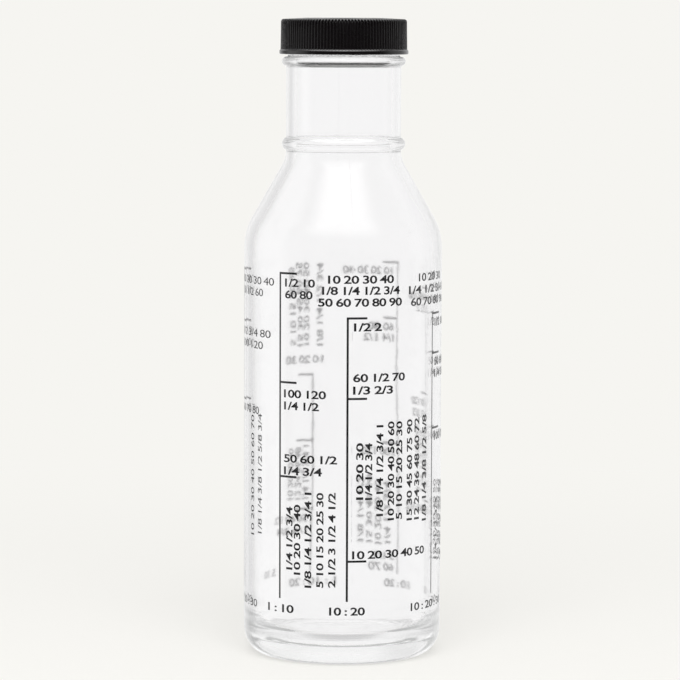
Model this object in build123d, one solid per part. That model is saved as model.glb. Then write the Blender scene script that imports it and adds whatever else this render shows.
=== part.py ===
from build123d import *
import os
from math import acos, atan2, ceil, cos, radians, sin, sqrt, tan

# A clear glass dressing bottle with a ribbed screw cap and a foam liner.
# Millimetres, +Z up, origin at the middle of the base, on the surface it stands on.

# Bottle, outside
body_radius = 30.8
body_height = 132.1
shoulder_height = 22.7
shoulder_round = 20.0
neck_radius = 17.85
heel_width = 6.0
heel_height = 8.4

# Bottle, base
bearing_width = 2.2
punt_depth = 2.6
base_thickness = 4.6

# Bottle, inside
body_wall = 2.7
heel_inner_round = 9.0
floor_round = 110.0
shoulder_inner_round = 18.0
neck_inner_round = 12.0
neck_wall = 2.85

# Support ring, low on the neck, and the short foot of the neck under it, mostly rounded into the shoulder
ring_drop = 36.9
ring_height = 3.9
ring_proud = 1.3
foot_height = 2.55
foot_round_share = 0.94

# Neck finish: the lip and the plain root that the thread stands on
finish_height = 10.0
finish_step = 0.5
lip_outer_round = 1.0
lip_inner_round = 0.8

# Transfer bead, under the finish
bead_height = 2.8
bead_proud = 1.37

# Liner, a foam disc between the lip and the cap
liner_thickness = 0.8
liner_clearance = 0.25

# Cap
thread_depth = 1.2
thread_clearance = 0.3
skirt_wall = 0.79
skirt_gap = 0.8
panel_thickness = 1.2
cap_draft = 0.12
cap_edge_round = 0.9
mouth_chamfer = 0.35

# Ribs round the cap's skirt
rib_count = 120
rib_depth = 0.32
rib_crest_share = 0.36
rib_root_share = 0.24
rib_relief = 0.05

# Plain band at the foot of the skirt
band_height = 1.3
band_proud = 0.36
band_round = 0.3

# Largest distance between a round and the straight steps that stand for it
arc_sag = 0.1

# Places that follow from the sizes above
neck_length = foot_height + ring_height / 2 + ring_drop
neck_base_z = body_height + shoulder_height
lip_z = neck_base_z + neck_length
finish_base_z = lip_z - finish_height
bead_z = finish_base_z - bead_height / 2
bead_foot_z = finish_base_z - bead_height
ring_z = lip_z - ring_drop
ring_foot_z = ring_z - ring_height / 2
ring_top_z = ring_z + ring_height / 2
inner_radius = body_radius - body_wall
bore_radius = neck_radius - neck_wall
finish_root_radius = neck_radius - finish_step
floor_z = punt_depth + base_thickness
floor_centre_z = floor_z - floor_round
bearing_radius = body_radius - heel_width
punt_radius = bearing_radius - bearing_width
shoulder_run = body_radius - neck_radius
shoulder_lean = atan2(shoulder_run, shoulder_height)
foot_round = foot_height * foot_round_share / tan(shoulder_lean / 2)
panel_z = lip_z + liner_thickness
cap_top_z = panel_z + panel_thickness
cap_foot_z = finish_base_z + skirt_gap
cap_bore_radius = finish_root_radius + thread_depth + thread_clearance
skirt_radius = cap_bore_radius + skirt_wall
rib_pitch = 360 / rib_count


def stepped(*lines):
    """Points along a chain of lines, with each arc as straight steps that stray from it by arc_sag at most."""
    points = []
    chain = Wire([edge for line in lines for edge in line.edges()])
    for edge in chain.order_edges():
        turn = radians((edge % 0).get_angle(edge % 1))
        steps = 1
        if edge.geom_type != GeomType.LINE:
            mean_radius = edge.length / turn
            steps = ceil(turn / (2 * acos(1 - arc_sag / mean_radius)))
        points += [edge @ (step / steps) for step in range(steps)]
    return points


def turned(points):
    """Solid turned round the Z axis from a half section: x is the radius, y the height."""
    return revolve(Plane.XZ * Polygon(*points, align=None), Axis.Z)


def glass_outside():
    """Push-up, bearing ring, heel, body, shoulder, neck, support ring and transfer bead, from the axis up."""
    punt = TangentArc((0, punt_depth), (punt_radius, 0), tangent=(1, 0))
    bearing = Line((punt_radius, 0), (bearing_radius, 0))
    heel = EllipticalCenterArc(
        (bearing_radius, heel_height), heel_width, heel_height, start_angle=270, arc_size=90
    )
    shoulder = FilletPolyline(
        (body_radius, heel_height),
        (body_radius, body_height),
        (neck_radius, neck_base_z),
        (neck_radius, ring_foot_z),
        radius=[shoulder_round, foot_round],
    )
    ring = ThreePointArc(
        (neck_radius, ring_foot_z), (neck_radius + ring_proud, ring_z), (neck_radius, ring_top_z)
    )
    neck = Line((neck_radius, ring_top_z), (neck_radius, bead_foot_z))
    bead = ThreePointArc(
        (neck_radius, bead_foot_z), (neck_radius + bead_proud, bead_z), (finish_root_radius, finish_base_z)
    )
    return [punt, bearing, heel, shoulder, ring, neck, bead]


def glass_inside():
    """Finish, lip, bore, inner shoulder and wall, inner heel and domed floor, down to the axis."""
    inner_body_z = body_height - body_wall * tan(shoulder_lean / 2)
    inner_neck_z = inner_body_z + (inner_radius - bore_radius) / tan(shoulder_lean)

    # The floor and the inner heel are two arcs that touch where the line between their centres crosses them
    heel_centre_x = inner_radius - heel_inner_round
    centre_rise = sqrt((floor_round + heel_inner_round) ** 2 - heel_centre_x**2)
    touch_share = floor_round / (floor_round + heel_inner_round)
    touch = (heel_centre_x * touch_share, floor_centre_z + centre_rise * touch_share)
    heel_top = (inner_radius, floor_centre_z + centre_rise)

    wall = FilletPolyline(
        (finish_root_radius, finish_base_z),
        (finish_root_radius, lip_z),
        (bore_radius, lip_z),
        (bore_radius, inner_neck_z),
        (inner_radius, inner_body_z),
        heel_top,
        radius=[lip_outer_round, lip_inner_round, neck_inner_round, shoulder_inner_round],
    )
    floor = TangentArc((0, floor_z), touch, tangent=(1, 0))
    heel = TangentArc(touch, heel_top, tangent=floor % 1)
    axis_line = Line((0, floor_z), (0, punt_depth))
    return [wall, heel, floor, axis_line]


def make_bottle():
    return turned(stepped(*glass_outside(), *glass_inside()))


def make_liner():
    disc = Cylinder(
        cap_bore_radius - liner_clearance,
        liner_thickness,
        align=(Align.CENTER, Align.CENTER, Align.MIN),
    )
    return Pos(0, 0, lip_z) * disc


def rib_outline(crest_radius, height_z):
    """Closed star outline: each rib has a flat crest, two flanks and a flat root."""
    root_radius = crest_radius - rib_depth
    crest_half = rib_pitch * rib_crest_share / 2
    root_half = rib_pitch * rib_root_share / 2
    points = []
    for rib in range(rib_count):
        middle = rib * rib_pitch
        valley = middle + rib_pitch / 2
        for radius, angle in [
            (crest_radius, middle - crest_half),
            (crest_radius, middle + crest_half),
            (root_radius, valley - root_half),
            (root_radius, valley + root_half),
        ]:
            points.append((radius * cos(radians(angle)), radius * sin(radians(angle))))
    return Pos(0, 0, height_z) * Polygon(*points, align=None)


def cap_envelope():
    """Turned form that the ribs are trimmed to: straight sides and a rounded top edge."""
    radius = skirt_radius + rib_relief
    outline = FilletPolyline(
        (0, cap_foot_z),
        (radius, cap_foot_z),
        (radius - cap_draft, cap_top_z),
        (0, cap_top_z),
        radius=[0, cap_edge_round],
    )
    return turned(stepped(outline, Line((0, cap_top_z), (0, cap_foot_z))))


def band():
    """Plain band at the foot of the skirt, with its two outer edges rounded."""
    band_radius = skirt_radius + band_proud
    band_top_z = cap_foot_z + band_height
    inner = (cap_bore_radius + skirt_radius) / 2
    outline = FilletPolyline(
        (inner, cap_foot_z),
        (band_radius, cap_foot_z),
        (band_radius, band_top_z),
        (inner, band_top_z),
        radius=[band_round, band_round],
    )
    return turned(stepped(outline, Line((inner, band_top_z), (inner, cap_foot_z))))


def cap_hollow():
    """Inside of the cap: a plain bore up to the panel, with a chamfer at the mouth."""
    return turned(
        [
            (0, cap_foot_z),
            (cap_bore_radius + mouth_chamfer, cap_foot_z),
            (cap_bore_radius, cap_foot_z + mouth_chamfer),
            (cap_bore_radius, panel_z),
            (0, panel_z),
        ]
    )


def make_cap():
    foot = rib_outline(skirt_radius, cap_foot_z)
    top = rib_outline(skirt_radius - cap_draft, cap_top_z)
    ribs = loft([foot, top], ruled=True)
    return (ribs & cap_envelope()) + band() - cap_hollow()


bottle = make_bottle()
cap_liner = make_liner()
cap = make_cap()

os.makedirs("parts", exist_ok=True)
export_step(bottle, "parts/bottle.step")
export_step(cap_liner, "parts/cap_liner.step")
export_step(cap, "parts/cap.step")
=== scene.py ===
import math

import bpy
import numpy as np
from mathutils import Matrix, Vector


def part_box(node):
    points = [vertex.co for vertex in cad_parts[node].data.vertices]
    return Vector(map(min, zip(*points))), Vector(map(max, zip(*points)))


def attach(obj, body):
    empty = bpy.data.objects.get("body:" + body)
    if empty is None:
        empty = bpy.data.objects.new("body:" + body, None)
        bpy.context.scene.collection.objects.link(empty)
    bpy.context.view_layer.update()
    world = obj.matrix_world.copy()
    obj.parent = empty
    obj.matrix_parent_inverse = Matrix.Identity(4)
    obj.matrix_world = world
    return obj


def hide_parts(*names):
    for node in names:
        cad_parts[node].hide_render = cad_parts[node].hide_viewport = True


# A clear glass dressing bottle with a ribbed black screw cap, a foam liner and printed measuring scales.
# Lengths are in millimetres where their note doesn't say metres. Angles are in degrees: 0 faces the camera,
# and they grow to the right.

MM = 0.001

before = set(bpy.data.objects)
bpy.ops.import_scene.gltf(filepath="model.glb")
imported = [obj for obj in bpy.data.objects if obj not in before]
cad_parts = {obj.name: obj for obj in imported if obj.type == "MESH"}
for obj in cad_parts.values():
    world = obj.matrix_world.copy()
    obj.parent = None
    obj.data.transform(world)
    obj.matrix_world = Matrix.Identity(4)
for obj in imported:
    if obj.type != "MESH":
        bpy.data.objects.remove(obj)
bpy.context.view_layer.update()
bottle_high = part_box("bottle")[1]
cap_low, cap_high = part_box("cap")
liner_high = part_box("cap_liner")[1]

# Sizes that the frame gives
BODY_RADIUS = bottle_high.x / MM
LIP_Z = bottle_high.z / MM
CAP_FOOT_Z = cap_low.z / MM
CAP_TOP_Z = cap_high.z / MM
CAP_BAND_RADIUS = cap_high.x / MM
PANEL_Z = liner_high.z / MM
LINER_RADIUS = liner_high.x / MM

# Glass bottle, outside. The print stands proud of the glass, out to the body's radius
INK_PROUD = 0.035
GLASS_RADIUS = BODY_RADIUS - INK_PROUD
BODY_TOP_Z = 132.1
SHOULDER_ROUND = 20.0
NECK_BASE_Z = 154.8
NECK_RADIUS = 17.85
NECK_FOOT_ROUND = 9.0
HEEL_WIDTH = 6.0
HEEL_HEIGHT = 8.4
BEARING_WIDTH = 2.2
PUNT_DEPTH = 2.6
PUNT_MIDDLE_SHARES = (0.55, 0.72)
RING_Z = LIP_Z - 36.9
RING_HEIGHT = 3.9
RING_PROUD = 1.3
FINISH_BASE_Z = LIP_Z - 10.0
FINISH_RADIUS = NECK_RADIUS - 0.5
BEAD_HEIGHT = 2.8
BEAD_PROUD = 1.37
RING_EASE = 0.5
BEAD_EASE = 0.4
LIP_OUTER_ROUND = 1.0
LIP_INNER_ROUND = 0.8

# Glass bottle, inside
INNER_RADIUS = BODY_RADIUS - 2.7
BORE_RADIUS = NECK_RADIUS - 2.85
FLOOR_Z = PUNT_DEPTH + 4.6
FLOOR_ROUND = 110.0
HEEL_INNER_ROUND = 9.0
SHOULDER_INNER_ROUND = 18.0
NECK_INNER_ROUND = 12.0

# Unevenness of the inner wall, faded out below the ring and towards the axis. Each wave is its size, how
# often it comes round the bottle, the height in which it drifts by one radian, and its start in radians
GLASS_WAVES = [(0.085, 2, 31, 0.7), (0.0595, 3, -23, 2.1), (0.02, 7, 17, 1.3), (0.0125, 13, -11, 0.0)]
WAVE_SETBACK = 0.05
WAVE_TOP_Z = RING_Z - 4
WAVE_FADE = 20.0

# Mould seams down the glass, twice as proud on the shoulder and the neck
SEAM_ANGLES = (5.5, 185.5)
SEAM_HALF_WIDTH = 0.24
SEAM_PROUD = 0.04
SEAM_FOOT_Z = 2.0
SEAM_FOOT_FADE = 4.0
SEAM_NECK_FADE = 10.0
SEAM_TOP_FADE = 0.5

# Screw thread: 6 turns to the inch. It fades out over an angle at both ends
THREAD_PITCH = 25.4 / 6
THREAD_DEPTH = 1.15
THREAD_WIDTH = 2.3
THREAD_FLANK = 1.6
THREAD_FADE = 25.0
GLASS_THREAD_START_Z = FINISH_BASE_Z + 1.9
GLASS_THREAD_TURN = 470.0
CAP_THREAD_START_Z = GLASS_THREAD_START_Z - THREAD_PITCH / 2
CAP_THREAD_TURN = 620.0
CAP_THREAD_DEPTH = 0.95
CAP_THREAD_WIDTH = 1.7
CAP_THREAD_FOOT_Z = CAP_FOOT_Z + 0.5
CAP_THREAD_FOOT_FADE = 0.6
CAP_THREAD_TOP_Z = PANEL_Z - 1.2
CAP_THREAD_TOP_FADE = 0.5

# Cap. The valleys between its ribs get deeper towards the rim, and end on the ledge over the foot band
CAP_BORE_RADIUS = 18.85
SKIRT_RADIUS = 19.64
CAP_DRAFT = 0.12
CAP_EDGE_ROUND = 0.9
CROWN_START = 11.5
CROWN_DROP = 0.4
RIB_COUNT = 120
RIB_DEPTH = 0.32
RIB_FLANK = 0.6
RIB_FADE_HEIGHT = 0.25
LEDGE_RIB_SHARE = 0.85
RIM_CUT_DEPTH = 0.7
RIM_CUT_HEIGHT = 4.0
RIM_CUT_FADE = 3.2
BAND_HEIGHT = 1.5
BAND_ROUND = 0.3
BAND_SLOPE = 0.42
LEDGE_ROUND = 0.15
MOUTH_CHAMFER = 0.35
PANEL_RING_SHARES = (0.9, 0.5)

# Foam liner, with the mark that the lip has pressed into it
LINER_ROUND = 0.18
PRESS_DEPTH = 0.12
PRESS_FADE = 1.0
PRESS_HALF_WIDTH = 1.5

# How finely the shapes are cut: the longest steps, the points on the rounds and the columns round the axis
GLASS_STEP = 3.2
GLASS_THREAD_STEP = 0.22
GLASS_COLUMNS = 225
SEAM_COLUMNS = 9
SEAM_COLUMNS_REACH = 1.5
SEAM_COLUMNS_GAP = 1.8
SKIRT_STEP = 1.6
CAP_THREAD_STEP = 0.33
RIB_COLUMNS = 8
LINER_STEP = 2.0
LINER_RINGS = 60
LINER_COLUMNS = 160
PUNT_POINTS = 24
HEEL_POINTS = 22
SHOULDER_POINTS = 16
NECK_FOOT_POINTS = 10
BULGE_POINTS = 25
EASED_POINTS = 3
FLOOR_POINTS = 12
INNER_HEEL_POINTS = 16
INNER_NECK_POINTS = 12
LIP_POINTS = 6
CROWN_POINTS = 12
CAP_EDGE_POINTS = 13
LEDGE_POINTS = 4
SMALL_ROUND_POINTS = 5
SAME_PLACE = 1e-6

# Glass finish. Bumps and heights in metres, noise scales to the metre. The stipple of the bearing ring fades
# from the second height up to the first
GLASS_TINT = (0.88, 0.9, 0.88, 1)
GLASS_DENSITY = 5
GLASS_ROUGHNESS = 0.08
GLASS_IOR = 1.5
RIPPLE_SCALE = 300
RIPPLE_DETAIL = 1
RIPPLE_BUMP = 0.00002
STIPPLE_SCALE = 1500
STIPPLE_BUMP = 0.0003
STIPPLE_FADE = (0.0006, 0.0002)
DEEP_MIRRORS = 3.5
DEEP_LIGHT = 0.28

# Grained finishes: colour, specular level, scales of the fine and the coarse noise to the metre, lowest and
# highest roughness, and bump in metres
FINISHES = {
    "cap_plastic": ((0.0026, 0.0018, 0.0021, 1), 0.6, 2600, 180, 0.22, 0.32, 0.00002),
    "white_foam": ((0.82, 0.82, 0.8, 1), 0.3, 3000, 300, 0.7, 0.9, 0.00008),
    "fired_ink": ((0.014, 0.014, 0.015, 1), 1.0, 6000, 400, 0.2, 0.35, 0.00001),
    # Underside of the ink film: the same black ink, painted a light grey as a painted lighter shade where the
    # print is seen through the glass
    "ink_underside_painted_lighter": ((0.72, 0.71, 0.72, 1), 0.3, 6000, 400, 0.6, 0.8, 0.00001),
}
FINE_DETAIL = 3
COARSE_DETAIL = 2
COARSE_SHARE = 0.5
COARSE_RANGE = (0.35, 0.65)

# Floor, in metres. It lies just under the ring that the bottle stands on, so that the two don't flicker
BACKDROP = (0.9216, 0.9131, 0.8796, 1)
FLOOR_COLOUR = (0.85, 0.84, 0.81, 1)
FLOOR_RINGS = (0.06, 0.12, 0.25, 0.5)
FLOOR_SPOKES = 48
FLOOR_DROP = 0.00002
SHADOW_SHARE = 0.32
SHADOW_FADE = (0.45, 0.03)

# The room, as a base level and panels: level added, azimuth, inner and outer half width, elevation, and inner
# and outer half height. One room is seen through the glass, the other is mirrored
ROOM_COLOUR = (1.0, 1.0, 1.0, 1)
ROOM_LIGHT = 0.55
THROUGH_COLOUR = (1.0, 0.995, 0.998, 1)
THROUGH_LEVEL = 0.965
THROUGH_PANELS = [
    (-0.1, 212, (6, 22), 0, (40, 70)),  # grey of the left wall
    (-0.04, 150, (5, 18), 0, (40, 70)),  # grey of the right wall
    (-0.3, 0, (180, 181), -90, (12, 36)),  # arcs in the base
]
MIRROR_LEVEL = 0.05
MIRROR_PANELS = [
    (2.2, 0, (32, 62), 62, (14, 45)),  # highlight on the shoulder
    (4.0, 0, (180, 181), 90, (30, 36)),  # edge of the cap's foot band
    (0.85, 0, (180, 181), -90, (30, 50)),  # underside of the ring, and the heel
    (0.95, -98, (14, 36), 5, (35, 65)),  # left wall
    (0.65, 115, (15, 45), 5, (30, 60)),  # right wall
    (0.95, 180, (22, 55), 0, (40, 70)),  # outlines, where the glass turns away
    (-0.65, 180, (6, 20), 28, (16, 22)),  # keeps the top of the cap dark
]

# Camera and lamp, in metres, with the lens and the sensor in millimetres
CAMERA_PLACE = (-0.0009, -1.0755, 0.1996)
CAMERA_PITCH = 5.4
CAMERA_ROLL = 0.2
CAMERA_LENS = 183.0
CAMERA_SENSOR = 36.0
CAMERA_NEAR = 0.05
LAMP_ENERGY = 14
LAMP_SIZE = 1.0
LAMP_DISTANCE = 1.2
LAMP_ELEVATION = 50


def arc(centre, radius, start, stop, count):
    """Points on a circle or an ellipse: centre plus radius times cosine and sine of evenly spaced angles."""
    turn = np.radians(np.linspace(start, stop, count))
    size = np.broadcast_to(radius, 2)
    return np.stack([centre[0] + size[0] * np.cos(turn), centre[1] + size[1] * np.sin(turn)], axis=1)


def arc_through(first, middle, last, count):
    """Points on the circle through three points, from the first to the last by way of the middle one."""
    a, b, c = (np.array(point, float) for point in (first, middle, last))
    system = 2 * np.array([b - a, c - a])
    centre = np.linalg.solve(system, [b @ b - a @ a, c @ c - a @ a])
    begin, over, end = (np.arctan2(*(point - centre)[::-1]) for point in (a, b, c))
    full = 2 * np.pi
    if (over - begin) % full > (end - begin) % full:
        span = -((begin - end) % full)
    else:
        span = (end - begin) % full
    turn = begin + np.linspace(0, span, count)
    return centre + np.linalg.norm(a - centre) * np.stack([np.cos(turn), np.sin(turn)], axis=1)


def rounded(before, corner, after, radius, count):
    """Points on the arc of that radius that touches both lines of a corner, from the first to the second."""
    corner = np.array(corner, float)
    back = np.array(before, float) - corner
    ahead = np.array(after, float) - corner
    back /= np.linalg.norm(back)
    ahead /= np.linalg.norm(ahead)
    half = np.arccos(np.clip(back @ ahead, -1, 1)) / 2
    centre = corner + (back + ahead) / np.linalg.norm(back + ahead) * radius / np.sin(half)
    middle = centre + (corner - centre) / np.linalg.norm(corner - centre) * radius
    reach = radius / np.tan(half)
    return arc_through(corner + back * reach, middle, corner + ahead * reach, count)


def spaced(points, step, guard=0.25):
    """The same chain of points, with each run longer than step cut into equal parts no longer than it.

    A long run first gets a point at the guard distance from each of its ends, so that smooth shading
    stays within that distance of a bend.
    """
    points = np.array(points, float)
    runs = np.linalg.norm(np.diff(points, axis=0), axis=1)
    points = points[np.concatenate([[True], runs > SAME_PLACE])]
    runs = runs[runs > SAME_PLACE]
    long = runs > 4 * guard
    near = np.minimum(guard / runs, 0.5)[:, None]
    first = points[:-1] + (points[1:] - points[:-1]) * near
    last = points[1:] - (points[1:] - points[:-1]) * near
    guarded = np.stack([points[:-1], first, last], axis=1)
    keep = np.stack([np.ones(len(runs), bool), long, long], axis=1)
    points = np.vstack([guarded[keep], points[-1:]])
    runs = np.linalg.norm(np.diff(points, axis=0), axis=1)
    parts = np.ceil(runs / step).astype(int)
    index = np.arange(len(runs)).repeat(parts)
    share = (np.arange(parts.sum()) - (np.cumsum(parts) - parts).repeat(parts)) / parts[index]
    return np.vstack([points[index] + (points[index + 1] - points[index]) * share[:, None], points[-1:]])


def eased(before, bulge, after, radius):
    """A bulge that meets the lines before and after it in hollow rounds of about that radius, not creases."""
    first = rounded(before, bulge[0], bulge[EASED_POINTS], radius, SMALL_ROUND_POINTS)
    last = rounded(bulge[-1 - EASED_POINTS], bulge[-1], after, radius, SMALL_ROUND_POINTS)
    return np.vstack([first, bulge[EASED_POINTS:-EASED_POINTS], last])


def smooth_step(value):
    """3v^2 - 2v^3 of the value held between 0 and 1."""
    held = np.clip(value, 0, 1)
    return held * held * (3 - 2 * held)


def shell_mesh(name, radius, height, angle):
    """Closed solid of revolution: rows run along the profile from axis to axis, columns round the axis.

    x = r sin a, y = -r cos a, z = h, with radius and height given as whole grids. The first and the last
    row lie on the axis, so each becomes one vertex with a fan of triangles.
    """
    rows, columns = radius.shape
    turn = np.radians(angle)
    grid = np.stack([radius * np.sin(turn), -radius * np.cos(turn), height], axis=2)
    start = [0, 0, height[0].mean()]
    end = [0, 0, height[-1].mean()]
    vertices = np.vstack([start, grid[1:-1].reshape(-1, 3), end]) * MM
    index = 1 + np.arange((rows - 2) * columns).reshape(rows - 2, columns)
    after = np.roll(index, -1, axis=1)
    quads = np.stack([index[:-1], after[:-1], after[1:], index[1:]], axis=2).reshape(-1, 4)
    last = len(vertices) - 1
    first_fan = np.stack([np.zeros(columns, int), after[0], index[0]], axis=1)
    last_fan = np.stack([np.full(columns, last), index[-1], after[-1]], axis=1)
    mesh = bpy.data.meshes.new(name)
    mesh.from_pydata(vertices.tolist(), [], first_fan.tolist() + quads.tolist() + last_fan.tolist())
    mesh.validate()
    mesh.shade_smooth()
    return mesh


def add_piece(mesh, material, body, node=None):
    """Object for a finished mesh, at the origin, riding on a body and standing for a node if one is named."""
    piece = bpy.data.objects.new(mesh.name, mesh)
    bpy.context.scene.collection.objects.link(piece)
    if material:
        mesh.materials.append(material)
    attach(piece, body)
    if node:
        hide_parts(node)


def seamed_angles(count, seam_radius):
    """Evenly spaced angles, with finer ones across each mould seam."""
    even = np.linspace(0, 360, count, endpoint=False)
    half = np.degrees(SEAM_HALF_WIDTH / seam_radius)
    across = half * np.linspace(-SEAM_COLUMNS_REACH, SEAM_COLUMNS_REACH, SEAM_COLUMNS)
    fine = [centre + across for centre in SEAM_ANGLES]
    near = np.min([np.abs(even - centre) for centre in SEAM_ANGLES], axis=0)
    return np.sort(np.concatenate([even[near > SEAM_COLUMNS_GAP * half], *fine]))


def seam_ridge(angle, height):
    """Height of the mould seams: a smooth bump over each seam angle.

    The bump is a smooth step of one minus the angle from the seam over its half width. It grows from the heel
    up, doubles over the shoulder and ends under the finish.
    """
    away = np.min([np.abs(angle - centre) for centre in SEAM_ANGLES], axis=0)
    width = np.degrees(SEAM_HALF_WIDTH / GLASS_RADIUS)
    foot = smooth_step((height - SEAM_FOOT_Z) / SEAM_FOOT_FADE)
    top = smooth_step((FINISH_BASE_Z - height) / SEAM_TOP_FADE)
    growth = 1 + smooth_step((height - BODY_TOP_Z) / SEAM_NECK_FADE)
    return SEAM_PROUD * smooth_step(1 - away / width) * (foot * top * growth)


def thread_ridge(angle, height, start_z, turn, depth, width):
    """Height of a right-handed thread: a rounded ridge about the helix z = start + pitch a / 360.

    For each lap of the helix that passes a point, the ridge is the depth times a smooth step of one minus
    the distance to the helix over half the width, made steeper by the flank. The largest of them counts,
    and the ridge fades at both ends.
    """
    ridge = np.zeros(np.broadcast(angle, height).shape)
    for lap in range(math.ceil(turn / 360)):
        along = angle + 360 * lap
        centre = start_z + THREAD_PITCH * along / 360
        ends = smooth_step(along / THREAD_FADE) * smooth_step((turn - along) / THREAD_FADE)
        slope = smooth_step(THREAD_FLANK - np.abs(height - centre) / (width / 2) * THREAD_FLANK)
        ridge = np.maximum(ridge, depth * ends * slope)
    return ridge


def bottle_outside():
    """Outer half section, as radius and height, from the middle of the push-up to the foot of the finish."""
    bearing = GLASS_RADIUS - HEEL_WIDTH
    punt = bearing - BEARING_WIDTH
    punt_middle = (punt * PUNT_MIDDLE_SHARES[0], PUNT_DEPTH * PUNT_MIDDLE_SHARES[1])
    slope = (GLASS_RADIUS, BODY_TOP_Z), (NECK_RADIUS, NECK_BASE_Z)
    above_ring = (NECK_RADIUS, RING_Z + RING_HEIGHT)
    ring = arc_through(
        (NECK_RADIUS, RING_Z - RING_HEIGHT / 2),
        (NECK_RADIUS + RING_PROUD, RING_Z),
        (NECK_RADIUS, RING_Z + RING_HEIGHT / 2),
        BULGE_POINTS,
    )
    bead = arc_through(
        (NECK_RADIUS, FINISH_BASE_Z - BEAD_HEIGHT),
        (NECK_RADIUS + BEAD_PROUD, FINISH_BASE_Z - BEAD_HEIGHT / 2),
        (FINISH_RADIUS, FINISH_BASE_Z),
        BULGE_POINTS,
    )
    return np.vstack([
        arc_through((0, PUNT_DEPTH), punt_middle, (punt, 0), PUNT_POINTS),
        arc((bearing, HEEL_HEIGHT), (HEEL_WIDTH, HEEL_HEIGHT), 270, 360, HEEL_POINTS),
        rounded((GLASS_RADIUS, 0), *slope, SHOULDER_ROUND, SHOULDER_POINTS),
        rounded(*slope, (NECK_RADIUS, RING_Z), NECK_FOOT_ROUND, NECK_FOOT_POINTS),
        eased((NECK_RADIUS, RING_Z - RING_HEIGHT), ring, above_ring, RING_EASE),
        eased(above_ring, bead, (FINISH_RADIUS, LIP_Z), BEAD_EASE),
    ])


def bottle_lip():
    """Rounded lip, from the outer wall of the finish over to the bore."""
    outer = FINISH_RADIUS, LIP_Z
    inner = BORE_RADIUS, LIP_Z
    return np.vstack([
        rounded((FINISH_RADIUS, 0), outer, inner, LIP_OUTER_ROUND, LIP_POINTS),
        rounded(outer, inner, (BORE_RADIUS, 0), LIP_INNER_ROUND, LIP_POINTS),
    ])


def bottle_inside():
    """Inner half section, as radius and height, from the bore down to the middle of the floor.

    The heel and the domed floor are arcs that touch where the line between their centres crosses them.
    """
    lean = math.atan2(BODY_RADIUS - NECK_RADIUS, NECK_BASE_Z - BODY_TOP_Z)
    inner_top = BODY_TOP_Z - (BODY_RADIUS - INNER_RADIUS) * math.tan(lean / 2)
    inner_neck = inner_top + (INNER_RADIUS - BORE_RADIUS) / math.tan(lean)
    slope = (BORE_RADIUS, inner_neck), (INNER_RADIUS, inner_top)
    heel_x = INNER_RADIUS - HEEL_INNER_ROUND
    floor_centre_z = FLOOR_Z - FLOOR_ROUND
    heel_z = floor_centre_z + math.sqrt((FLOOR_ROUND + HEEL_INNER_ROUND) ** 2 - heel_x**2)
    floor_turn = math.degrees(math.asin(heel_x / (FLOOR_ROUND + HEEL_INNER_ROUND)))
    return np.vstack([
        rounded((BORE_RADIUS, LIP_Z), *slope, NECK_INNER_ROUND, INNER_NECK_POINTS),
        rounded(*slope, (INNER_RADIUS, 0), SHOULDER_INNER_ROUND, SHOULDER_POINTS),
        arc((heel_x, heel_z), HEEL_INNER_ROUND, 0, -90 - floor_turn, INNER_HEEL_POINTS),
        arc((0, floor_centre_z), FLOOR_ROUND, 90 - floor_turn, 90, FLOOR_POINTS),
    ])


def glass_wave(angle, height):
    """Unevenness of the inner wall: a sum of waves, each size times sin(count a + h / drift + start)."""
    turn = np.radians(angle)
    total = 0
    for size, count, drift, start in GLASS_WAVES:
        total = total + size * np.sin(count * turn + height / drift + start)
    return total


def make_bottle(material):
    """The glass as one closed shell, turned from its outside, the lip and the inside.

    The radius is that of the section, plus the mould seams outside, plus the thread on the finish, and minus
    the wave and a small setback inside.
    """
    outside = spaced(bottle_outside(), GLASS_STEP)
    finish = spaced(
        [(FINISH_RADIUS, FINISH_BASE_Z), (FINISH_RADIUS, LIP_Z - LIP_OUTER_ROUND)], GLASS_THREAD_STEP
    )[1:]
    inside = spaced(np.vstack([bottle_lip(), bottle_inside()]), GLASS_STEP)[1:]
    profile = np.vstack([outside, finish, inside])
    angle = seamed_angles(GLASS_COLUMNS, GLASS_RADIUS)
    radius = np.repeat(profile[:, :1], len(angle), axis=1)
    height = np.repeat(profile[:, 1:], len(angle), axis=1)

    inner_start = len(outside) + len(finish)
    seamed = slice(0, len(outside))
    threaded = slice(len(outside), inner_start)
    inner = slice(inner_start, None)
    radius[seamed] += seam_ridge(angle, height[seamed])
    radius[threaded] += thread_ridge(
        angle, height[threaded], GLASS_THREAD_START_Z, GLASS_THREAD_TURN, THREAD_DEPTH, THREAD_WIDTH
    )
    reach = smooth_step((WAVE_TOP_Z - height[inner]) / WAVE_FADE) * smooth_step(radius[inner] / WAVE_FADE)
    radius[inner] -= (glass_wave(angle, height[inner]) + WAVE_SETBACK) * reach
    mesh = shell_mesh("glass_bottle", radius, height, angle)
    add_piece(mesh, material, "bottle", "bottle")


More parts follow.
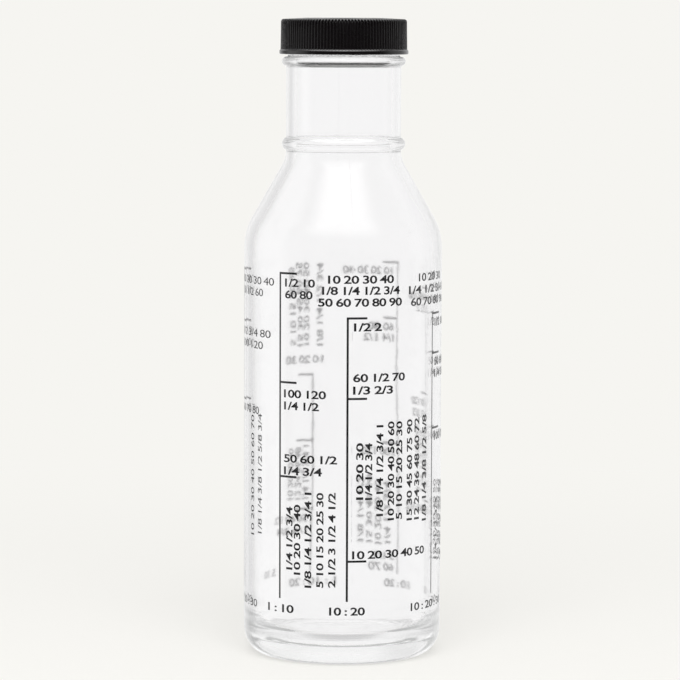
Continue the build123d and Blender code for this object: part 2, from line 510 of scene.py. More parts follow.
def cap_outline():
    """Cap half section, from the middle of the top down the skirt, up the bore and back to the axis.

    Returns the points, the radius that the ribs' crests have at each point, the depth of the valleys between
    the ribs there, and the rows of the bore. The depth goes from that of the skirt to that of the rim's cut
    by a smooth step of the height.
    """
    skirt_top = SKIRT_RADIUS - CAP_DRAFT
    band_top = CAP_FOOT_Z + BAND_HEIGHT
    shoulder = (skirt_top, CAP_TOP_Z - CROWN_DROP)
    edge = rounded((CROWN_START, CAP_TOP_Z), shoulder, (skirt_top, 0), CAP_EDGE_ROUND, CAP_EDGE_POINTS)
    reach = np.linspace(0, edge[0, 0], CROWN_POINTS)[:-1]
    crown = np.clip((reach - CROWN_START) / (skirt_top - CROWN_START), 0, 1)
    top = np.stack([reach, CAP_TOP_Z - CROWN_DROP * crown], axis=1)
    skirt = spaced([edge[-1], (SKIRT_RADIUS, band_top + RIB_FADE_HEIGHT)], SKIRT_STEP)[1:]

    slope_top, slope_foot = (SKIRT_RADIUS, band_top), (CAP_BAND_RADIUS, band_top - BAND_SLOPE)
    band_foot = (CAP_BAND_RADIUS, CAP_FOOT_Z)
    ledge = rounded((SKIRT_RADIUS, CAP_TOP_Z), slope_top, slope_foot, LEDGE_ROUND, LEDGE_POINTS)
    band = np.vstack([
        rounded(slope_top, slope_foot, (CAP_BAND_RADIUS, 0), BAND_ROUND, SMALL_ROUND_POINTS),
        rounded(slope_foot, band_foot, (0, CAP_FOOT_Z), BAND_ROUND, SMALL_ROUND_POINTS),
    ])
    mouth = [(CAP_BORE_RADIUS + MOUTH_CHAMFER, CAP_FOOT_Z), (CAP_BORE_RADIUS, CAP_FOOT_Z + MOUTH_CHAMFER)]
    bore = spaced([mouth[-1], (CAP_BORE_RADIUS, PANEL_Z)], CAP_THREAD_STEP)[1:]
    panel = [(CAP_BORE_RADIUS * share, PANEL_Z) for share in (*PANEL_RING_SHARES, 0)]

    points = np.vstack([top, edge, skirt, ledge, band, mouth, bore, panel])
    ribbed = len(top) + len(edge) + len(skirt)
    crest = points[:, 0].copy()
    crest[:len(top) + len(edge)] = skirt_top
    depth = np.zeros(len(points))
    over_rim = smooth_step((points[:ribbed, 1] - CAP_TOP_Z + RIM_CUT_HEIGHT) / RIM_CUT_FADE)
    depth[:ribbed] = RIB_DEPTH + (RIM_CUT_DEPTH - RIB_DEPTH) * over_rim
    depth[ribbed:ribbed + len(ledge)] = RIB_DEPTH * np.linspace(LEDGE_RIB_SHARE, 0, len(ledge))
    bore_start = ribbed + len(ledge) + len(band) + len(mouth)
    return points, crest, depth, slice(bore_start, bore_start + len(bore) - 1)


def make_cap(material):
    """The cap as one closed shell, with valleys between its ribs up through the rim and a thread in its bore.

    The radius is the smaller of the turned outline and the ribs' wave, which is the crest minus the depth
    times a smooth step of the wave's cosine.
    """
    points, crest, depth, bore = cap_outline()
    angle = np.linspace(0, 360, RIB_COUNT * RIB_COLUMNS, endpoint=False)
    valley = smooth_step(0.5 - RIB_FLANK * np.cos(np.radians(angle * RIB_COUNT)))
    radius = np.minimum(points[:, :1], crest[:, None] - depth[:, None] * valley)
    height = np.repeat(points[:, 1:], len(angle), axis=1)
    ridge = thread_ridge(
        angle, height[bore], CAP_THREAD_START_Z, CAP_THREAD_TURN, CAP_THREAD_DEPTH, CAP_THREAD_WIDTH
    )
    foot = smooth_step((height[bore] - CAP_THREAD_FOOT_Z) / CAP_THREAD_FOOT_FADE)
    top = smooth_step((CAP_THREAD_TOP_Z - height[bore]) / CAP_THREAD_TOP_FADE)
    radius[bore] -= ridge * (foot * top)
    mesh = shell_mesh("screw_cap", radius[::-1], height[::-1], angle)
    add_piece(mesh, material, "cap", "cap")


def make_liner(material):
    """Foam disc with rounded edges, and the round mark that the lip has pressed into its underside.

    The mark's depth is a smooth step of how far a point lies inside the mark's half width.
    """
    foot, top = LIP_Z, PANEL_Z
    lip_middle = (FINISH_RADIUS + BORE_RADIUS) / 2
    reach = np.linspace(0, LINER_RADIUS - LINER_ROUND, LINER_RINGS)
    press = PRESS_DEPTH * smooth_step((PRESS_HALF_WIDTH - np.abs(reach - lip_middle)) / PRESS_FADE)
    low_edge, high_edge = (LINER_RADIUS, foot), (LINER_RADIUS, top)
    profile = np.vstack([
        np.stack([reach, foot + press], axis=1),
        rounded((0, foot), low_edge, high_edge, LINER_ROUND, SMALL_ROUND_POINTS),
        rounded(low_edge, high_edge, (0, top), LINER_ROUND, SMALL_ROUND_POINTS),
        spaced([(LINER_RADIUS - LINER_ROUND, top), (0, top)], LINER_STEP),
    ])
    angle = np.linspace(0, 360, LINER_COLUMNS, endpoint=False)
    radius = np.repeat(profile[:, :1], len(angle), axis=1)
    height = np.repeat(profile[:, 1:], len(angle), axis=1)
    mesh = shell_mesh("foam_liner", radius, height, angle)
    add_piece(mesh, material, "liner", "cap_liner")


# Print on the body. Heights and widths in millimetres, angles in degrees
INK_OUTER = BODY_RADIUS - 0.008
INK_INNER = GLASS_RADIUS - 0.03
DIGIT_HEIGHT = 2.4
UPRIGHT_HEIGHT = 2.15
FONT_DIGIT_HEIGHT = 0.70
FONT_RESOLUTION = 3
FONT_SPACING = 0.94
FONT_WORD_SPACING = 0.85
LINE_FOOT_Z = 20.4
TICK_REACH = 11.2
TICK_WIDTH = 0.66
BAR_STEP = 1.0
CAPTION_Z = 16.2

# Each printed scale: the weight of its numbers, the angle, width and top of its line, the heights of its
# ticks, its level numbers as (text, first angle, last angle, foot) and its upright numbers as (text, angle of
# their feet, first and last height)
SCALES = {
    "front_left": {
        "weight": 0.02,
        "line": (-38.5, 0.6, 120.7),
        "ticks": (120.7, 87.3, 58.3),
        "level": [
            ("1/2 10", -35.1, -16.1, 116.7),
            ("60 80", -35.1, -17.5, 113.1),
            ("100 120", -35.7, -9.5, 82.7),
            ("1/4 1/2", -35.6, -13.6, 79.0),
            ("50 60 1/2", -35.6, -3.1, 62.8),
            ("1/4 3/4", -35.6, -11.7, 59.0),
            ("1 : 10", -47.8, -28.8, CAPTION_Z),
        ],
        "upright": [
            ("1/4 1/2 3/4", -29.9, 29.6, 49.1),
            ("10 20 30 40", -24.8, 28.2, 49.9),
            ("1/8 1/4 1/2 3/4 1", -18.0, 24.4, 53.8),
            ("5 10 15 20 25 30", -10.9, 24.6, 53.9),
            ("2 1/2 3 1/2 4 1/2", -4.0, 24.7, 54.0),
        ],
    },
    "front_middle": {
        "weight": 0.022,
        "line": (2.7, 0.66, 107.4),
        "ticks": (107.4, 82.8, 32.8),
        "level": [
            ("10 20 30 40", -8.6, 30.2, 118.0),
            ("1/8 1/4 1/2 3/4", -12.0, 34.2, 114.6),
            ("50 60 70 80 90", -14.3, 35.7, 111.0),
            ("1/2 2", 6.2, 22.7, 103.5),
            ("60 1/2 70", 5.8, 38.1, 88.0),
            ("1/3 2/3", 5.8, 29.9, 84.2),
            ("10 20 30 40 50", 5.6, 55.2, 33.6),
            ("10 : 20", -7.4, 13.2, CAPTION_Z),
        ],
        "upright": [
            ("10 20 30", 11.8, 51.8, 69.3),
            ("1/4 1/2 3/4", 17.0, 51.7, 69.2),
            ("1/8 1/4 1/2 3/4 1", 23.7, 46.6, 74.6),
            ("10 20 30 40 50 60", 30.8, 45.1, 75.6),
            ("5 10 15 20 25 30", 36.3, 45.2, 75.5),
            ("15 30 45 60 75 90", 43.9, 44.5, 75.8),
            ("12 24 36 48 60 72", 49.9, 44.5, 76.1),
            ("1/8 1/4 3/8 1/2 5/8", 56.9, 43.7, 76.7),
        ],
    },
    "front_right": {
        "weight": 0.016,
        "line": (63.6, 0.45, 107.6),
        "ticks": (107.6, 95.3, 72.0),
        "level": [
            ("10 20 30", 48.9, 77.1, 118.0),
            ("1/4 1/2 3/4 1", 40.8, 85.2, 114.3),
            ("60 70 80 90", 42.4, 83.6, 110.6),
            ("1/2 10", 67.0, 86.0, 103.6),
            ("50 60 1/2", 67.0, 94.0, 91.4),
            ("1/4 3/4", 67.0, 91.0, 87.7),
            ("100 120", 67.0, 93.0, 68.1),
            ("10 : 20 : 30", 43.5, 80.5, CAPTION_Z),
        ],
        "upright": [
            ("1/4 1/2 3/4", 73.0, 30.6, 50.0),
            ("10 20 30 40 50", 79.0, 30.2, 55.2),
            ("15 30 45 60 75", 85.0, 29.4, 55.0),
            ("5 10 15 20 25", 91.0, 29.6, 54.0),
        ],
    },
    "side_right": {
        "weight": 0.02,
        "line": (103.0, 0.45, 113.6),
        "ticks": (113.6, 80.3, 46.0),
        "level": [
            ("60 80 100", 106.0, 130.0, 109.6),
            ("1/2 2", 106.0, 122.0, 105.9),
            ("100 120", 106.0, 128.0, 76.2),
            ("1/3 2/3", 106.0, 127.0, 72.5),
            ("50 60 1/2", 106.0, 135.0, 42.0),
            ("1 : 10", 93.5, 112.5, CAPTION_Z),
        ],
        "upright": [
            ("10 20 30 40", 111.0, 48.8, 69.6),
            ("1/4 1/2 3/4", 117.0, 48.8, 68.4),
            ("5 10 15 20 25", 123.0, 48.0, 69.8),
        ],
    },
    "back_right": {
        "weight": 0.02,
        "line": (142.0, 0.45, 120.7),
        "ticks": (120.7, 102.8, 62.4),
        "level": [
            ("10 20 30 40", 146.0, 181.0, 116.8),
            ("60 80", 145.0, 164.0, 98.8),
            ("1/4 1/2", 145.0, 167.0, 95.2),
            ("100 120", 145.0, 168.0, 58.4),
            ("5 1/2", 145.0, 160.0, 24.8),
            ("60 70", 145.0, 163.0, 21.2),
            ("10 : 20", 131.7, 152.3, CAPTION_Z),
        ],
        "upright": [
            ("1/4 1/2 3/4", 152.0, 30.0, 50.0),
            ("10 20 30 40", 158.0, 29.4, 50.4),
            ("15 30 45 60", 164.0, 29.8, 52.0),
            ("1/8 1/4 1/2", 170.0, 30.0, 51.4),
        ],
    },
    "back_left": {
        "weight": 0.02,
        "line": (200.0, 0.45, 84.4),
        "ticks": (84.4, 63.1, 41.0),
        "level": [
            ("10 20 30", 193.0, 221.0, 88.0),
            ("50 60 1/2", 203.0, 229.0, 36.8),
            ("1/4 3/4", 203.0, 227.0, 33.0),
            ("1 : 10 : 20", 184.0, 216.0, CAPTION_Z),
            ("5 10", 228.0, 243.0, 20.2),
        ],
        "upright": [
            ("1/8 1/4 1/2 3/4", 197.0, 93.4, 120.2),
            ("10 20 30 40 50", 206.6, 93.8, 120.4),
            ("15 30 45 60 75", 211.6, 93.6, 120.4),
            ("5 10 15 20 25", 217.0, 93.8, 119.0),
            ("1/4 1/2 3/4 1", 206.6, 44.0, 61.4),
            ("12 24 36 48", 211.6, 44.0, 61.0),
            ("10 20 30 40", 217.0, 44.2, 60.8),
        ],
    },
    "side_left": {
        "weight": 0.0,
        "line": (-88.0, 0.45, 120.7),
        "ticks": (120.7, 104.6, 80.2),
        "level": [
            ("10 20 30 40", -84.6, -43.3, 116.6),
            ("50 1/2 60", -84.6, -53.0, 113.0),
            ("1/2 3/4 80", -84.6, -46.0, 100.4),
            ("100 120", -84.6, -53.0, 96.7),
            ("60 70 80", -84.6, -57.0, 76.4),
            ("10 : 20 : 30", -95.8, -58.8, CAPTION_Z),
        ],
        "upright": [
            ("10 20 30 40 50 60 70", -62.7, 38.5, 75.9),
            ("1/8 1/4 3/8 1/2 5/8 3/4", -54.0, 39.5, 76.7),
        ],
    },
}


def flat_text(text, weight):
    """A line of text as corners and triangles in the plane, one digit high, from the origin."""
    curve = bpy.data.curves.new("text", "FONT")
    curve.body = text
    curve.resolution_u = FONT_RESOLUTION
    curve.offset = weight
    curve.space_character = FONT_SPACING
    curve.space_word = FONT_WORD_SPACING
    holder = bpy.data.objects.new("text", curve)
    bpy.context.scene.collection.objects.link(holder)
    graph = bpy.context.evaluated_depsgraph_get()
    mesh = bpy.data.meshes.new_from_object(holder.evaluated_get(graph), depsgraph=graph)
    mesh.calc_loop_triangles()
    corners = np.empty(3 * len(mesh.vertices))
    triangles = np.empty(3 * len(mesh.loop_triangles), int)
    mesh.vertices.foreach_get("co", corners)
    mesh.loop_triangles.foreach_get("vertices", triangles)
    bpy.data.objects.remove(holder)
    bpy.data.curves.remove(curve)
    bpy.data.meshes.remove(mesh)
    corners = corners.reshape(-1, 3)[:, :2] / FONT_DIGIT_HEIGHT
    corners -= [corners[:, 0].min(), 0]
    return corners, triangles.reshape(-1, 3)


def bar(first, last, foot, top):
    """An upright rectangle on the body, in columns of about one step, as corners and triangles."""
    columns = max(1, math.ceil((last - first) / BAR_STEP))
    along = np.linspace(first, last, columns + 1)
    corners = np.concatenate([
        np.stack([along, np.full(columns + 1, foot)], axis=1),
        np.stack([along, np.full(columns + 1, top)], axis=1),
    ])
    low = np.arange(columns)
    high = low + columns + 1
    lower = np.stack([low, low + 1, high + 1], axis=1)
    upper = np.stack([low, high + 1, high], axis=1)
    return corners, np.vstack([lower, upper])


def along_body(angle):
    """Distance round the body, in millimetres, of an angle."""
    return BODY_RADIUS * math.radians(angle)


def level_text(weight, text, first, last, foot):
    """Numbers that read round the body, stretched to fill the space from one angle to another."""
    corners, triangles = flat_text(text, weight)
    start, end = along_body(first), along_body(last)
    stretch = (end - start) / corners[:, 0].max()
    return corners * [stretch, DIGIT_HEIGHT] + [start, foot], triangles


def upright_text(weight, text, angle, first, last):
    """Numbers that read up the body from the first height to the last, with their feet at an angle."""
    corners, triangles = flat_text(text, weight)
    stretch = (last - first) / corners[:, 0].max()
    turned = np.stack([-corners[:, 1] * UPRIGHT_HEIGHT, corners[:, 0] * stretch], axis=1)
    return turned + [along_body(angle), first], triangles


def make_scale(name, scale, materials):
    """One printed scale as a closed film of ink that lies on the body and just enters it.

    The flat shapes are wrapped round the axis, a = s / R, at the film's outer and inner radius. Where an
    edge belongs to one triangle only, a strip joins the two layers.
    """
    angle, width, top = scale["line"]
    middle = along_body(angle)
    end = along_body(angle + TICK_REACH)
    half = TICK_WIDTH / 2
    shapes = [bar(middle - width / 2, middle + width / 2, LINE_FOOT_Z, top - half)]
    shapes += [bar(middle - width / 2, end, height - half, height + half) for height in scale["ticks"]]
    shapes += [level_text(scale["weight"], *row) for row in scale["level"]]
    shapes += [upright_text(scale["weight"], *row) for row in scale["upright"]]

    counts = [len(corners) for corners, triangles in shapes]
    offsets = np.cumsum([0, *counts[:-1]])
    flat = np.vstack([corners for corners, triangles in shapes])
    faces = np.vstack([triangles + offset for (corners, triangles), offset in zip(shapes, offsets)])
    edges = faces[:, [0, 1, 1, 2, 2, 0]].reshape(-1, 2)
    size = len(flat)
    alone = np.isin(edges[:, 0] * size + edges[:, 1], edges[:, 1] * size + edges[:, 0], invert=True)
    rim = edges[alone]

    turn = flat[:, 0] / BODY_RADIUS
    wrapped = np.stack([np.sin(turn), -np.cos(turn), np.zeros(size)], axis=1)
    up = np.stack([np.zeros(size), np.zeros(size), flat[:, 1]], axis=1)
    vertices = np.vstack([wrapped * INK_OUTER + up, wrapped * INK_INNER + up]) * MM
    walls = np.stack([rim[:, 0] + size, rim[:, 1] + size, rim[:, 1], rim[:, 0]], axis=1)
    under = faces[:, ::-1] + size
    mesh = bpy.data.meshes.new("print_" + name)
    mesh.from_pydata(vertices.tolist(), [], faces.tolist() + walls.tolist() + under.tolist())
    for material in materials:
        mesh.materials.append(material)
    # The faces under the film take the second material: the same ink with a painted lighter shade, where it
    # is seen through the glass
    inward = np.zeros(len(mesh.polygons), int)
    inward[len(faces) + len(walls):] = 1
    mesh.polygons.foreach_set("material_index", inward)
    add_piece(mesh, None, "bottle")


def tree(name, world=False):
    """A new node-based material or world, and its node tree, emptied."""
    data = (bpy.data.worlds if world else bpy.data.materials).new(name)
    data.use_nodes = True
    data.node_tree.nodes.clear()
    return data, data.node_tree


def add_node(owner, kind, at=(0, 0), values=None, **settings):
    """A node of a kind in a tree, with its properties and the plain values of its inputs set."""
    made = owner.nodes.new(kind)
    made.location = at
    for key, value in settings.items():
        setattr(made, key, value)
    for key, value in (values or {}).items():
        made.inputs[key].default_value = value
    return made


def wire(owner, *pairs):
    """Links between sockets, as pairs of output and input."""
    for source, target in pairs:
        owner.links.new(source, target)


def group_tree(name, inputs, outputs):
    """A shader node group with numbers or vectors as inputs and numbers as outputs, and its two end nodes."""
    group = bpy.data.node_groups.new(name, "ShaderNodeTree")
    for label, kind in inputs.items():
        group.interface.new_socket(label, in_out="INPUT", socket_type=kind)
    for label in outputs:
        group.interface.new_socket(label, in_out="OUTPUT", socket_type="NodeSocketFloat")
    return group, add_node(group, "NodeGroupInput", (-900, 0)), add_node(group, "NodeGroupOutput", (900, 0))


def grain_group():
    """Fine grain of a moulded or fired surface: two sizes of noise as a height, and a roughness.

    The height is the fine noise plus a share of the coarse noise. The roughness goes from low to high as the
    coarse noise crosses its middle range.
    """
    number = "NodeSocketFloat"
    group, given, result = group_tree(
        "fine_grain",
        {"Fine": number, "Coarse": number, "Low": number, "High": number},
        ["Height", "Roughness"],
    )
    place = add_node(group, "ShaderNodeTexCoord", (-900, 300))
    fine = add_node(group, "ShaderNodeTexNoise", (-400, 200), {"Detail": FINE_DETAIL})
    coarse = add_node(group, "ShaderNodeTexNoise", (-400, -100), {"Detail": COARSE_DETAIL})
    height = add_node(group, "ShaderNodeMath", (0, 100), {1: COARSE_SHARE}, operation="MULTIPLY_ADD")
    middle = {"From Min": COARSE_RANGE[0], "From Max": COARSE_RANGE[1]}
    spread = add_node(group, "ShaderNodeMapRange", (300, -100), middle)
    wire(
        group,
        (place.outputs["Object"], fine.inputs["Vector"]),
        (place.outputs["Object"], coarse.inputs["Vector"]),
        (given.outputs["Fine"], fine.inputs["Scale"]),
        (given.outputs["Coarse"], coarse.inputs["Scale"]),
        (coarse.outputs[0], height.inputs[0]),
        (fine.outputs[0], height.inputs[2]),
        (coarse.outputs[0], spread.inputs["Value"]),
        (given.outputs["Low"], spread.inputs["To Min"]),
        (given.outputs["High"], spread.inputs["To Max"]),
        (height.outputs[0], result.inputs["Height"]),
        (spread.outputs[0], result.inputs["Roughness"]),
    )
    return group


def grained(name, grain):
    """Opaque surface of one colour with fine grain in its roughness and its bump."""
    colour, specular, fine, coarse, low, high, depth = FINISHES[name]
    material, owner = tree(name)
    sizes = {"Fine": fine, "Coarse": coarse, "Low": low, "High": high}
    look = add_node(owner, "ShaderNodeGroup", (-500, 0), sizes, node_tree=grain)
    bump = add_node(owner, "ShaderNodeBump", (-250, -250), {"Distance": depth})
    plain = {"Base Color": colour, "Specular IOR Level": specular}
    shader = add_node(owner, "ShaderNodeBsdfPrincipled", (0, 0), plain)
    output = add_node(owner, "ShaderNodeOutputMaterial", (300, 0))
    wire(
        owner,
        (look.outputs["Height"], bump.inputs["Height"]),
        (look.outputs["Roughness"], shader.inputs["Roughness"]),
        (bump.outputs[0], shader.inputs["Normal"]),
        (shader.outputs[0], output.inputs["Surface"]),
    )
    return material


def glass_material():
    """Clear glass with a faintly rippled skin and a stippled bearing ring, a little darker where it is thick.

    A path that glass has mirrored four times within itself ends there, so from then on the surface adds
    the dim light of the room.
    """
    material, owner = tree("bottle_glass")
    plain = {
        "Base Color": (1, 1, 1, 1),
        "Roughness": GLASS_ROUGHNESS,
        "IOR": GLASS_IOR,
        "Transmission Weight": 1,
        "Emission Strength": 1,
    }
    shader = add_node(owner, "ShaderNodeBsdfPrincipled", (0, 0), plain)
    tint = {"Color": GLASS_TINT, "Density": GLASS_DENSITY}
    absorb = add_node(owner, "ShaderNodeVolumeAbsorption", (0, -500), tint)
    output = add_node(owner, "ShaderNodeOutputMaterial", (300, 0))

    place = add_node(owner, "ShaderNodeTexCoord", (-1100, 0))
    noise = {"Scale": RIPPLE_SCALE, "Detail": RIPPLE_DETAIL}
    ripple = add_node(owner, "ShaderNodeTexNoise", (-800, 200), noise)
    skin = add_node(owner, "ShaderNodeBump", (-250, 200), {"Distance": RIPPLE_BUMP})
    split = add_node(owner, "ShaderNodeSeparateXYZ", (-1000, -250))
    fade = {"From Min": STIPPLE_FADE[0], "From Max": STIPPLE_FADE[1]}
    foot = add_node(owner, "ShaderNodeMapRange", (-700, -250), fade)
    stipple = add_node(owner, "ShaderNodeTexNoise", (-800, -500), {"Scale": STIPPLE_SCALE})
    raised = add_node(owner, "ShaderNodeMath", (-500, -350), operation="MULTIPLY")
    dots = add_node(owner, "ShaderNodeBump", (-100, -200), {"Distance": STIPPLE_BUMP})

    path = add_node(owner, "ShaderNodeLightPath", (-900, 500))
    deep = add_node(owner, "ShaderNodeMath", (-600, 500), {1: DEEP_MIRRORS}, operation="GREATER_THAN")
    room = add_node(owner, "ShaderNodeMath", (-400, 500), {1: DEEP_LIGHT}, operation="MULTIPLY")
    wire(
        owner,
        (place.outputs["Object"], ripple.inputs["Vector"]),
        (ripple.outputs[0], skin.inputs["Height"]),
        (place.outputs["Object"], split.inputs[0]),
        (split.outputs["Z"], foot.inputs["Value"]),
        (place.outputs["Object"], stipple.inputs["Vector"]),
        (foot.outputs[0], raised.inputs[0]),
        (stipple.outputs[0], raised.inputs[1]),
        (raised.outputs[0], dots.inputs["Height"]),
        (skin.outputs[0], dots.inputs["Normal"]),
        (dots.outputs[0], shader.inputs["Normal"]),
        (path.outputs["Glossy Depth"], deep.inputs[0]),
        (deep.outputs[0], room.inputs[0]),
        (room.outputs[0], shader.inputs["Emission Color"]),
        (shader.outputs[0], output.inputs["Surface"]),
        (absorb.outputs[0], output.inputs["Volume"]),
    )
    material.cycles.emission_sampling = "NONE"
    return material


def panel_group():
    """Soft-edged panel of light in the room, as a mask by direction.

    The mask is the product of two smooth steps: one falls between the inner and the outer half width as the
    direction turns away from the azimuth, the other between the half heights as it leaves the elevation.
    """
    number = "NodeSocketFloat"
    group, given, result = group_tree(
        "soft_panel",
        {
            "Towards": "NodeSocketVector",
            "Inner Width": number,
            "Outer Width": number,
            "Elevation": number,
            "Inner Height": number,
            "Outer Height": number,
        },
        ["Mask"],
    )
    way = add_node(group, "ShaderNodeTexCoord", (-900, 400))
    split = add_node(group, "ShaderNodeSeparateXYZ", (-700, 300))
    level = add_node(group, "ShaderNodeCombineXYZ", (-500, 400))
    unit = add_node(group, "ShaderNodeVectorMath", (-300, 400), operation="NORMALIZE")
    lean = add_node(group, "ShaderNodeVectorMath", (-100, 400), operation="DOT_PRODUCT")
    aside = add_node(group, "ShaderNodeMath", (100, 400), operation="ARCCOSINE")
    across = add_node(group, "ShaderNodeMapRange", (300, 300), interpolation_type="SMOOTHSTEP")
    rise = add_node(group, "ShaderNodeMath", (-300, 0), operation="ARCSINE")
    off = add_node(group, "ShaderNodeMath", (-100, 0), operation="SUBTRACT")
    away = add_node(group, "ShaderNodeMath", (100, 0), operation="ABSOLUTE")
    upward = add_node(group, "ShaderNodeMapRange", (300, 0), interpolation_type="SMOOTHSTEP")
    both = add_node(group, "ShaderNodeMath", (600, 100), operation="MULTIPLY")
    wire(
        group,
        (way.outputs["Generated"], split.inputs[0]),
        (split.outputs["X"], level.inputs["X"]),
        (split.outputs["Y"], level.inputs["Y"]),
        (level.outputs[0], unit.inputs[0]),
        (unit.outputs[0], lean.inputs[0]),
        (given.outputs["Towards"], lean.inputs[1]),
        (lean.outputs["Value"], aside.inputs[0]),
        (aside.outputs[0], across.inputs["Value"]),
        (given.outputs["Outer Width"], across.inputs["From Min"]),
        (given.outputs["Inner Width"], across.inputs["From Max"]),
        (split.outputs["Z"], rise.inputs[0]),
        (rise.outputs[0], off.inputs[0]),
        (given.outputs["Elevation"], off.inputs[1]),
        (off.outputs[0], away.inputs[0]),
        (away.outputs[0], upward.inputs["Value"]),
        (given.outputs["Outer Height"], upward.inputs["From Min"]),
        (given.outputs["Inner Height"], upward.inputs["From Max"]),
        (across.outputs[0], both.inputs[0]),
        (upward.outputs[0], both.inputs[1]),
        (both.outputs[0], result.inputs["Mask"]),
    )
    return group


def room_level(world, group, start, panels, at):
    """Brightness of the room: a base level, with each panel's own level added where its mask is."""
    x, y = at
    total = None
    for row, (level, azimuth, widths, elevation, heights) in enumerate(panels):
        turn = math.radians(azimuth)
        place = {
            "Towards": (math.sin(turn), -math.cos(turn), 0),
            "Inner Width": math.radians(widths[0]),
            "Outer Width": math.radians(widths[1]),
            "Elevation": math.radians(elevation),
            "Inner Height": math.radians(heights[0]),
            "Outer Height": math.radians(heights[1]),
        }
        panel = add_node(world, "ShaderNodeGroup", (x, y - 250 * row), place, node_tree=group)
        sums = {1: level, 2: start}
        add = add_node(world, "ShaderNodeMath", (x + 250, y - 250 * row), sums, operation="MULTIPLY_ADD")
        wire(world, (panel.outputs["Mask"], add.inputs[0]))
        if total:
            wire(world, (total, add.inputs[2]))
        total = add.outputs[0]
    return total


def make_world():
    """Pale backdrop for the camera, a bright room through glass, a dark one with panels for reflections."""
    studio, world = tree("studio", world=True)
    bpy.context.scene.world = studio
    group = panel_group()
    path = add_node(world, "ShaderNodeLightPath", (0, 600))
    output = add_node(world, "ShaderNodeOutputWorld", (1400, 0))
    back = add_node(world, "ShaderNodeBackground", (600, 400), {"Color": BACKDROP})
    lit = {"Color": ROOM_COLOUR, "Strength": ROOM_LIGHT}
    light = add_node(world, "ShaderNodeBackground", (600, 200), lit)
    through = add_node(world, "ShaderNodeBackground", (600, 0), {"Color": THROUGH_COLOUR})
    mirrored = add_node(world, "ShaderNodeBackground", (600, -200), {"Color": ROOM_COLOUR})
    see = add_node(world, "ShaderNodeMixShader", (850, 300))
    pass_on = add_node(world, "ShaderNodeMixShader", (1000, 150))
    mirror = add_node(world, "ShaderNodeMixShader", (1200, 0))
    wire(
        world,
        (room_level(world, group, THROUGH_LEVEL, THROUGH_PANELS, (0, 0)), through.inputs["Strength"]),
        (room_level(world, group, MIRROR_LEVEL, MIRROR_PANELS, (0, -1500)), mirrored.inputs["Strength"]),
        (path.outputs["Is Camera Ray"], see.inputs[0]),
        (light.outputs[0], see.inputs[1]),
        (back.outputs[0], see.inputs[2]),
        (path.outputs["Is Glossy Ray"], mirror.inputs[0]),
        (see.outputs[0], mirror.inputs[1]),
        (mirrored.outputs[0], mirror.inputs[2]),
        (path.outputs["Is Transmission Ray"], pass_on.inputs[0]),
        (mirror.outputs[0], pass_on.inputs[1]),
        (through.outputs[0], pass_on.inputs[2]),
        (pass_on.outputs[0], output.inputs[0]),
    )


def floor_material():
    """The backdrop's own colour, with a share of plain paper near the middle that takes the soft shadow."""
    material, owner = tree("studio_floor")
    place = add_node(owner, "ShaderNodeTexCoord", (-900, 0))
    reach = add_node(owner, "ShaderNodeVectorMath", (-700, 0), operation="LENGTH")
    share = add_node(
        owner,
        "ShaderNodeMapRange",
        (-500, 0),
        {"From Min": SHADOW_FADE[0], "From Max": SHADOW_FADE[1], "To Max": SHADOW_SHARE},
        interpolation_type="SMOOTHSTEP",
    )
    emit = add_node(owner, "ShaderNodeEmission", (-200, 100), {"Color": BACKDROP})
    paper = add_node(owner, "ShaderNodeBsdfDiffuse", (-200, -100), {"Color": FLOOR_COLOUR})
    mix = add_node(owner, "ShaderNodeMixShader", (100, 0))
    output = add_node(owner, "ShaderNodeOutputMaterial", (300, 0))
    wire(
        owner,
        (place.outputs["Object"], reach.inputs[0]),
        (reach.outputs["Value"], share.inputs["Value"]),
        (share.outputs[0], mix.inputs[0]),
        (emit.outputs[0], mix.inputs[1]),
        (paper.outputs[0], mix.inputs[2]),
        (mix.outputs[0], output.inputs["Surface"]),
    )
    return material


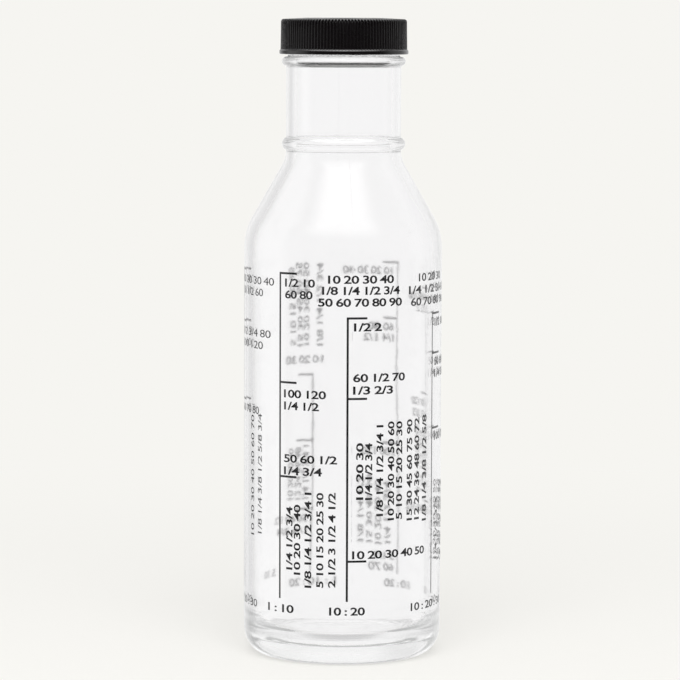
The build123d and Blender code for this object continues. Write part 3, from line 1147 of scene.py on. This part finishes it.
def make_floor():
    """Pale round floor: rings of points at even angles, x = r cos a, y = r sin a, joined outwards."""
    turn = np.radians(np.linspace(0, 360, FLOOR_SPOKES, endpoint=False))
    grid = np.array(FLOOR_RINGS)[:, None, None] * np.stack([np.cos(turn), np.sin(turn)], axis=1)
    flat = np.vstack([[0, 0], grid.reshape(-1, 2)])
    vertices = np.column_stack([flat, np.full(len(flat), -FLOOR_DROP)])
    index = 1 + np.arange(grid[..., 0].size).reshape(len(FLOOR_RINGS), FLOOR_SPOKES)
    after = np.roll(index, -1, axis=1)
    middle = np.stack([np.zeros(FLOOR_SPOKES, int), index[0], after[0]], axis=1)
    quads = np.stack([index[:-1], index[1:], after[1:], after[:-1]], axis=2).reshape(-1, 4)
    mesh = bpy.data.meshes.new("floor")
    mesh.from_pydata(vertices.tolist(), [], middle.tolist() + quads.tolist())
    mesh.materials.append(floor_material())
    floor = bpy.data.objects.new("floor", mesh)
    bpy.context.scene.collection.objects.link(floor)
    floor.visible_transmission = False
    floor.visible_glossy = False


def make_camera():
    """Camera of the photograph: eye level at the cap, looking a little down from about 1.08 m away."""
    data = bpy.data.cameras.new("camera")
    data.lens = CAMERA_LENS
    data.sensor_width = CAMERA_SENSOR
    data.clip_start = CAMERA_NEAR
    camera = bpy.data.objects.new("camera", data)
    bpy.context.scene.collection.objects.link(camera)
    pitch = Matrix.Rotation(math.radians(90 - CAMERA_PITCH), 4, "X")
    roll = Matrix.Rotation(math.radians(CAMERA_ROLL), 4, "Z")
    camera.matrix_world = Matrix.Translation(CAMERA_PLACE) @ (pitch @ roll)
    bpy.context.scene.camera = camera


def make_lamp():
    """Large soft lamp that looks down at the object from the camera's side.

    It doesn't mirror in the object: the room's panels do.
    """
    data = bpy.data.lights.new("key", "AREA")
    data.shape = "SQUARE"
    data.size = LAMP_SIZE
    data.energy = LAMP_ENERGY
    lamp = bpy.data.objects.new("key", data)
    bpy.context.scene.collection.objects.link(lamp)
    aim = Matrix.Rotation(math.radians(90 - LAMP_ELEVATION), 4, "X")
    lamp.matrix_world = aim @ Matrix.Translation((0, 0, LAMP_DISTANCE))
    lamp.visible_glossy = False
    lamp.visible_transmission = False


bpy.context.scene.view_settings.view_transform = "Standard"
make_camera()
make_world()
make_floor()
make_lamp()
grain = grain_group()
make_bottle(glass_material())
make_cap(grained("cap_plastic", grain))
make_liner(grained("white_foam", grain))
# Black ink outside, and under it the same ink painted a lighter grey: a painted lighter shade where the print
# is seen through the glass
ink = [grained("fired_ink", grain), grained("ink_underside_painted_lighter", grain)]
for scale_name, scale in SCALES.items():
    make_scale(scale_name, scale, ink)
